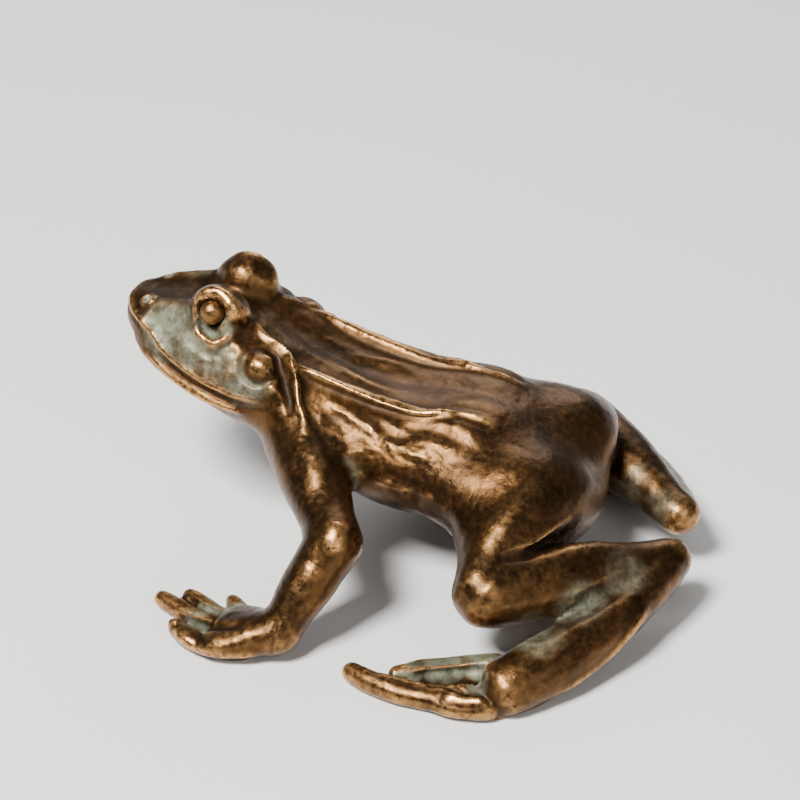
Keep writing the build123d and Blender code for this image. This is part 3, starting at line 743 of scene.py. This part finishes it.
# %% Slide the points onto the joints
point_owner = gap_to.argmin(1)
one, other = sculpt.ends
crossing = point_owner[one] != point_owner[other]
one, other = one[crossing], other[crossing]
lead_one = gap_to[one, point_owner[other]] - gap_to[one, point_owner[one]]
lead_other = gap_to[other, point_owner[one]] - gap_to[other, point_owner[other]]
share = lead_one / np.maximum(lead_one + lead_other, 1e-12)
line = sculpt.co[one] * (1 - share[:, None]) + sculpt.co[other] * share[:, None]
slid = np.zeros((sculpt.number, 4))
for ends, close in ((one, share <= 0.5), (other, share > 0.5)):
    np.add.at(slid, ends[close], np.hstack((line[close], np.ones((close.sum(), 1)))))
moved = slid[:, 3] > 0
sculpt.co[moved] = slid[moved, :3] / slid[moved, 3:]
normals_before = sculpt.normal.copy()
sculpt.refresh()
rest_normal = skin.data.attributes.new("rest_normal", "FLOAT_VECTOR", "POINT")
rest_normal.data.foreach_set("vector", normals_before.ravel().astype(np.float32))
print("slid", int(moved.sum()), "points onto the joints")

# %% [markdown]
# A patch too small to be a casting goes to its neighbour, and the skin is split along the joints.
# Each patch is found by walking from face to face as long as the casting stays the same.

# %% Split the skin along the joints
SMALLEST_PATCH = 600
bm = bmesh.new()
bm.from_mesh(skin.data)
casting_layer = bm.faces.layers.int.new("casting")
for face, owner in zip(bm.faces, face_owner):
    face[casting_layer] = int(owner)
seen = set()
for first in bm.faces:
    if first in seen:
        continue
    owner = first[casting_layer]
    patch, queue, beside = [], [first], []
    seen.add(first)
    while queue:
        face = queue.pop()
        patch.append(face)
        for edge in face.edges:
            for next_face in edge.link_faces:
                if next_face[casting_layer] != owner:
                    beside.append(next_face[casting_layer])
                elif next_face not in seen:
                    seen.add(next_face)
                    queue.append(next_face)
    if len(patch) < SMALLEST_PATCH and beside:
        for face in patch:
            face[casting_layer] = max(set(beside), key=beside.count)
        print("gave a patch of", len(patch), "faces away from", SKIN_NODES[owner])
joints = [
    e for e in bm.edges
    if len(e.link_faces) == 2 and e.link_faces[0][casting_layer] != e.link_faces[1][casting_layer]
]
bmesh.ops.split_edges(bm, edges=joints)
bm.to_mesh(skin.data)
bm.free()
print("split", len(joints), "edges")

# %% [markdown]
# Each casting becomes an object of its own, and its cut ends are closed. It keeps the shading of
# the whole skin, so that the joints stay tight. Then it takes the place of its CAD node.

# %% Close the pieces and hand them over
bpy.ops.object.select_all(action="DESELECT")
bpy.context.view_layer.objects.active = skin
skin.select_set(True)
bpy.ops.mesh.separate(type="LOOSE")
loose = {node: [] for node in SKIN_NODES}
for part in list(bpy.context.selected_objects):
    numbers = np.empty(len(part.data.polygons), dtype=np.int32)
    part.data.attributes["casting"].data.foreach_get("value", numbers)
    loose[SKIN_NODES[np.bincount(numbers).argmax()]].append(part)

pieces = {}
for node, parts in loose.items():
    parts.sort(key=lambda part: -len(part.data.polygons))
    piece = parts[0]
    for crumb in parts[1:]:
        print(node, "has a crumb of", len(crumb.data.polygons), "faces")
    bm = bmesh.new()
    bm.from_mesh(piece.data)
    open_edges = [e for e in bm.edges if e.is_boundary]
    caps = bmesh.ops.holes_fill(bm, edges=open_edges, sides=0)["faces"]
    bmesh.ops.triangulate(bm, faces=caps)
    bmesh.ops.recalc_face_normals(bm, faces=bm.faces)
    if bm.calc_volume(signed=True) < 0:
        bmesh.ops.reverse_faces(bm, faces=bm.faces)
    still_open = sum(e.is_boundary for e in bm.edges)
    bm.to_mesh(piece.data)
    bm.free()
    piece.name = piece.data.name = node + "_skin"
    mesh = piece.data
    mesh.attributes.remove(mesh.attributes["casting"])
    mesh.polygons.foreach_set("use_smooth", [True] * len(mesh.polygons))
    normals = np.empty(len(mesh.vertices) * 3, dtype=np.float32)
    mesh.attributes["rest_normal"].data.foreach_get("vector", normals)
    mesh.attributes.remove(mesh.attributes["rest_normal"])
    mesh.normals_split_custom_set_from_vertices(normals.reshape(-1, 3))
    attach(piece, "root")
    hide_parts(node)
    pieces[node] = piece
    print("%s: %d faces, %d open edges" % (piece.name, len(mesh.polygons), still_open))

# %% [markdown]
# ## The eyes
# Each eye is a separate bead of bronze on a short stem, pressed into the pocket under the brow.
# The back of a ball is sliced off, and the rim of the cut is drawn out into the stem.

# %% Set the eyes
BEAD_PLACE, BEAD_FACING = (6.2, -23.86, 30.5), (1.8, 0, 1.0)
BEAD_RADIUS = 1.6
SLICED_AT = 0.86
STEM_LENGTH = 1.5
UNEVEN, UNEVEN_SIZE = 0.05, 1.1
for side, name in ((1, "left_eye"), (-1, "right_eye")):
    place, facing = [(side * x, y, z) for x, y, z in (BEAD_PLACE, BEAD_FACING)]
    bead_middle = Vector(placed([place])[0])
    outward = Vector(facing).normalized()
    bm = bmesh.new()
    bmesh.ops.create_uvsphere(bm, u_segments=64, v_segments=32, radius=BEAD_RADIUS * MM)
    everything = bm.verts[:] + bm.edges[:] + bm.faces[:]
    back = Vector((0, 0, -SLICED_AT * BEAD_RADIUS * MM))
    bmesh.ops.bisect_plane(
        bm, geom=everything, dist=1e-7, plane_co=back, plane_no=(0, 0, -1), clear_outer=True
    )
    rim = [e for e in bm.edges if e.is_boundary]
    stem = bmesh.ops.extrude_edge_only(bm, edges=rim)["geom"]
    end = [v for v in stem if isinstance(v, bmesh.types.BMVert)]
    bmesh.ops.translate(bm, verts=end, vec=(0, 0, -STEM_LENGTH * MM))
    bmesh.ops.holes_fill(bm, edges=[e for e in bm.edges if e.is_boundary], sides=0)
    turn = outward.to_track_quat("Z", "Y").to_matrix().to_4x4()
    bmesh.ops.transform(bm, matrix=Matrix.Translation(bead_middle) @ turn, verts=bm.verts)
    bmesh.ops.recalc_face_normals(bm, faces=bm.faces)
    bm.normal_update()
    for v in bm.verts:
        v.co += v.normal * (UNEVEN * MM * noise.fractal(v.co / (UNEVEN_SIZE * MM), 0.9, 2.1, 3))
    mesh = bpy.data.meshes.new(name + "_bead")
    bm.to_mesh(mesh)
    bm.free()
    mesh.polygons.foreach_set("use_smooth", [True] * len(mesh.polygons))
    bead = bpy.data.objects.new(name + "_bead", mesh)
    bpy.context.scene.collection.objects.link(bead)
    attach(bead, "root")
    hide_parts(name)
    pieces[name] = bead
    print(bead.name, len(mesh.polygons), "faces")

# %% [markdown]
# ## Patinated bronze
# The effects that both bronzes share are node groups: one for the brown patina with its rubbed
# places and its near-black hollows of grime and painted shade, one for the fine pits of the cast
# surface. These short helpers make a group, add a node with its wires, and name the few sums
# that the groups are built from.

# %% Make the shader helpers
def new_group(name, inputs, outputs):
    tree = bpy.data.node_groups.new(name, "ShaderNodeTree")
    for label, kind, value in inputs:
        socket = tree.interface.new_socket(label, in_out="INPUT", socket_type="NodeSocket" + kind)
        socket.default_value = value
    for label, kind in outputs:
        tree.interface.new_socket(label, in_out="OUTPUT", socket_type="NodeSocket" + kind)
    return tree, tree.nodes.new("NodeGroupInput").outputs, tree.nodes.new("NodeGroupOutput").inputs


def wire(tree, kind, settings=None, **sockets):
    """Adds a node. A socket is named by its label, or by its number as n0, n1 and so on."""
    node = tree.nodes.new("ShaderNode" + kind)
    for name, value in (settings or {}).items():
        setattr(node, name, value)
    for label, value in sockets.items():
        socket = node.inputs[int(label[1:])] if label[1:].isdigit() else node.inputs[label]
        if isinstance(value, bpy.types.NodeSocket):
            tree.links.new(value, socket)
        else:
            socket.default_value = value
    return node


def scaled(tree, size):
    """Object coordinates counted in steps of the given size in millimetres."""
    place = wire(tree, "TexCoord").outputs["Object"]
    return wire(tree, "VectorMath", {"operation": "SCALE"}, n0=place, Scale=1 / (size * MM)).outputs[0]


def mixed(tree, share, one, other):
    node = wire(tree, "Mix", {"data_type": "RGBA"}, n0=share, n6=one, n7=other)
    return node.outputs[2]


def ramp(tree, value, low, high):
    """0 at low and under, 1 at high and over."""
    return wire(tree, "MapRange", n0=value, n1=low, n2=high).outputs[0]


def maths(tree, operation, one, other):
    node = wire(tree, "Math", {"operation": operation, "use_clamp": True}, n0=one, n1=other)
    return node.outputs[0]


def plus(tree, one, other):
    return maths(tree, "ADD", one, other)


def times(tree, one, other):
    return maths(tree, "MULTIPLY", one, other)


def cloud_noise(tree, size, detail, roughness):
    node = wire(tree, "TexNoise", Vector=scaled(tree, size), Scale=1.0, Detail=detail, Roughness=roughness)
    return node.outputs[0]


print("shader helpers are ready")

# %% [markdown]
# The patina group mixes a dark and a warm brown in clouds and flecks, rubs the ridges bright and
# fills the hollows with near-black: grime of the patina, and painted shade in the creases and
# pockets. Rubbed places are smoother, hollow and flecked ones duller.

# %% Make the patina group
# Near-black for the hollows: grime of the patina, and painted shade in the creases and pockets
GRIME_AND_PAINTED_SHADE = (0.016, 0.009, 0.004, 1)
patina, given, result = new_group(
    "brown_patina_and_shade",
    [("Dark", "Color", (0.03, 0.014, 0.006, 1)), ("Warm", "Color", (0.2, 0.08, 0.03, 1)),
     ("Rubbed", "Color", (0.5, 0.24, 0.1, 1)), ("Hollow", "Float", 0.0), ("Ridge", "Float", 0.0)],
    [("Color", "Color"), ("Roughness", "Float")],
)
clouds = cloud_noise(patina, 7.0, 5.0, 0.6)
flecks = cloud_noise(patina, 0.8, 4.0, 0.65)
cloudy = ramp(patina, clouds, 0.36, 0.66)
flecked = ramp(patina, flecks, 0.4, 0.68)
shade = plus(patina, times(patina, cloudy, 0.7), times(patina, flecked, 0.3))
tone = mixed(patina, shade, given["Dark"], given["Warm"])
rubbed = times(patina, given["Ridge"], ramp(patina, flecks, 0.3, 0.55))
tone = mixed(patina, rubbed, tone, given["Rubbed"])
# The hollows go near-black: patina grime and painted shade together
tone = mixed(patina, times(patina, given["Hollow"], 0.85), tone, GRIME_AND_PAINTED_SHADE)
patina.links.new(tone, result["Color"])
dull = plus(patina, times(patina, given["Hollow"], 0.3), times(patina, flecked, 0.16))
dull = plus(patina, dull, 0.28)
dull = maths(patina, "SUBTRACT", dull, times(patina, rubbed, 0.1))
patina.links.new(dull, result["Roughness"])
print("made", patina.name)

# %% [markdown]
# Bronze cast in a small mould keeps a fine grain and tiny pits. This group gives their height for
# the bump: noise for the grain, and cells with a dip in the middle of each for the pits.

# %% Make the group of the cast surface
pits, given, result = new_group("cast_surface", [("Grain", "Float", 1.0)], [("Height", "Float")])
fine_grain = cloud_noise(pits, 0.35, 4.0, 0.7)
holes = wire(pits, "TexVoronoi", Vector=scaled(pits, 0.7), Scale=1.0)
pit = ramp(pits, holes.outputs["Distance"], 0.0, 0.22)
height = plus(pits, times(pits, fine_grain, 0.6), times(pits, pit, 0.4))
height = times(pits, height, given["Grain"])
pits.links.new(height, result["Height"])
print("made", pits.name)

# %% [markdown]
# The body's bronze adds the green-grey bloom: a dull crust that covers the metal in sheltered
# places, broken up at its edges. A thin wax coat gives both bronzes their clean highlights.

# %% Mix the bronzes
THIN_CHALK, THICK_CHALK = (0.08, 0.085, 0.055, 1), (0.23, 0.24, 0.155, 1)
METALNESS = 0.95


def bronze(name, dark, warm, rubbed, bloomy):
    """A patinated bronze. With bloomy it also follows the values kept on the skin."""
    material = bpy.data.materials.new(name)
    material.use_nodes = True
    tree = material.node_tree
    shader = tree.nodes["Principled BSDF"]
    marks = wire(tree, "Group", {"node_tree": patina}, Dark=dark, Warm=warm, Rubbed=rubbed)
    surface = wire(tree, "Group", {"node_tree": pits}, Grain=1.0)
    colour, roughness = marks.outputs["Color"], marks.outputs["Roughness"]
    height = surface.outputs["Height"]
    shader.inputs["Metallic"].default_value = METALNESS
    if bloomy:
        hollow, ridge, bloom = [
            wire(tree, "Attribute", {"attribute_name": value}).outputs["Fac"]
            for value in ("hollow", "ridge", "bloom")
        ]
        tree.links.new(hollow, marks.inputs["Hollow"])
        tree.links.new(ridge, marks.inputs["Ridge"])
        broken = ramp(tree, cloud_noise(tree, 1.8, 6.0, 0.65), 0.3, 0.65)
        thickness = wire(tree, "Math", {"operation": "MULTIPLY_ADD"}, n0=broken, n1=0.7, n2=0.55)
        cover = ramp(tree, times(tree, bloom, thickness.outputs[0]), 0.1, 0.8)
        cover = times(tree, cover, 0.85)
        colour = mixed(tree, cover, colour, mixed(tree, broken, THIN_CHALK, THICK_CHALK))
        roughness = plus(tree, roughness, times(tree, cover, 0.2))
        metal = maths(tree, "SUBTRACT", METALNESS, times(tree, cover, 0.6))
        tree.links.new(metal, shader.inputs["Metallic"])
        height = plus(tree, height, times(tree, cover, 0.3))
    tree.links.new(colour, shader.inputs["Base Color"])
    tree.links.new(roughness, shader.inputs["Roughness"])
    bump = wire(tree, "Bump", Strength=0.6, Distance=0.09 * MM, Height=height)
    tree.links.new(bump.outputs[0], shader.inputs["Normal"])
    shader.inputs["Coat Weight"].default_value = 0.06
    shader.inputs["Coat Roughness"].default_value = 0.35
    return material


body_bronze = bronze(
    "patinated_bronze", dark=(0.036, 0.0172, 0.0055, 1), warm=(0.125, 0.057, 0.0165, 1),
    rubbed=(0.64, 0.33, 0.115, 1), bloomy=True
)
eye_bronze = bronze(
    "eye_bronze", dark=(0.12, 0.058, 0.018, 1), warm=(0.34, 0.17, 0.055, 1),
    rubbed=(0.6, 0.32, 0.12, 1), bloomy=False
)
for node, piece in pieces.items():
    piece.data.materials.clear()
    piece.data.materials.append(eye_bronze if node.endswith("_eye") else body_bronze)
print("gave a bronze to", len(pieces), "pieces")

# %% [markdown]
# ## Floor, light and camera
# The frog stands on a plain pale table. One soft lamp hangs over its left flank, as the
# highlights in the photo show, with weaker ones in front and behind. The camera looks from the
# photo's own direction, worked out from the feet and the back ridges.

# %% Lay the floor and hang the lamps
FLOOR_SIZE = 3.0
PALE = (0.72, 0.71, 0.69, 1)
LAMPS = [
    # Its name, its place and width in metres, its power in watts
    ("key", (0.28, -0.12, 0.5), 0.16, 9.0),
    ("fill", (0.35, 0.45, 0.3), 0.4, 1.4),
    ("rim", (-0.45, -0.1, 0.35), 0.3, 1.2),
]
SKY, SKY_STRENGTH = (0.85, 0.88, 0.92, 1), 0.22

bpy.ops.mesh.primitive_plane_add(size=FLOOR_SIZE, location=(0, 0, 0))
floor = bpy.context.object
floor.name = "floor"
paper = bpy.data.materials.new("pale_floor")
paper.use_nodes = True
paper_shader = paper.node_tree.nodes["Principled BSDF"]
paper_shader.inputs["Base Color"].default_value = PALE
paper_shader.inputs["Roughness"].default_value = 0.8
floor.data.materials.append(paper)

lit_place = Vector((MIDDLE, 0, 0.015))
for name, place, size, power in LAMPS:
    lamp = bpy.data.lights.new(name, "AREA")
    lamp.size = size
    lamp.energy = power
    holder = bpy.data.objects.new(name, lamp)
    holder.location = place
    holder.rotation_euler = (lit_place - Vector(place)).to_track_quat("-Z", "Y").to_euler()
    bpy.context.scene.collection.objects.link(holder)
world = bpy.data.worlds.new("studio")
bpy.context.scene.world = world
world.use_nodes = True
sky = world.node_tree.nodes["Background"].inputs
sky["Color"].default_value = SKY
sky["Strength"].default_value = SKY_STRENGTH
print("hung", len(LAMPS), "lamps")

# %% [markdown]
# The camera turns round the frog from its nose, rises over the table and looks at the middle of
# the body. A long lens keeps the near limbs from growing, as in the photograph.

# %% Place the camera
CAMERA_TURN, CAMERA_RISE = 111, 33
CAMERA_FAR, CAMERA_LENS = 320 * MM, 115.2
AIMED_AT = Vector((MIDDLE, -1.56 * MM, 19 * MM))

turn, rise = math.radians(CAMERA_TURN), math.radians(CAMERA_RISE)
back = Vector((math.sin(turn) * math.cos(rise), -math.cos(turn) * math.cos(rise), math.sin(rise)))
camera = bpy.data.objects.new("photo_camera", bpy.data.cameras.new("photo_camera"))
camera.location = AIMED_AT + back * CAMERA_FAR
camera.rotation_euler = (-back).to_track_quat("-Z", "Y").to_euler()
camera.data.sensor_width = 36
camera.data.lens = CAMERA_LENS
bpy.context.scene.collection.objects.link(camera)
bpy.context.scene.camera = camera
print("camera at", [round(c, 3) for c in camera.location])

# %% [markdown]
